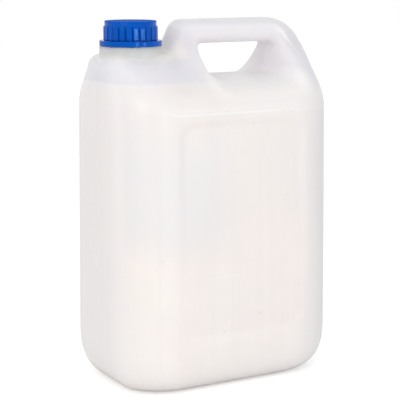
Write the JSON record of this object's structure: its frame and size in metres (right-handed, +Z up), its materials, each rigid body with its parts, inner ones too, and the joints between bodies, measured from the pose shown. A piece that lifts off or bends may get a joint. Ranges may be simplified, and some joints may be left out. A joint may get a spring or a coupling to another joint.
{
  "type": "oil jug",
  "caption": "Upright translucent plastic jug of massage oil, with a hollow handle moulded into its shoulder over a finger hole, and a ribbed screw cap on an offset neck.",
  "frame": {"origin": "centre of the base, on the surface the jug stands on", "axes": "+X along the jug's length, away from the neck; +Y across its depth, towards the back; +Z up"},
  "size_m": [0.19, 0.1332, 0.287],
  "materials": {
    "natural_plastic": "natural translucent polyethylene, satin",
    "oil": "pale cream oil",
    "blue_plastic": "glossy blue polypropylene",
    "liner_foam": "white foamed polyethylene"
  },
  "bodies": {
    "jug": {"body": "natural_plastic", "oil": "oil", "tamper_ring": "blue_plastic"},
    "liner": {"liner": "liner_foam"},
    "cap": {"cap": "blue_plastic"}
  },
  "joints": [
    {"name": "cap_lift", "type": "slide", "parent": "jug", "child": "liner", "axis": [0, 0, 1], "range_m": [0, 0.0076]},
    {"name": "cap_turn", "type": "hinge", "parent": "liner", "child": "cap", "pos_m": [-0.06372, 0, 0.2786], "axis": [0, 0, 1], "range_deg": [0, 540]}
  ],
  "couplings": [
    {"joint": "cap_lift", "follows": "cap_turn", "m_per_rad": 0.00079577}
  ]
}
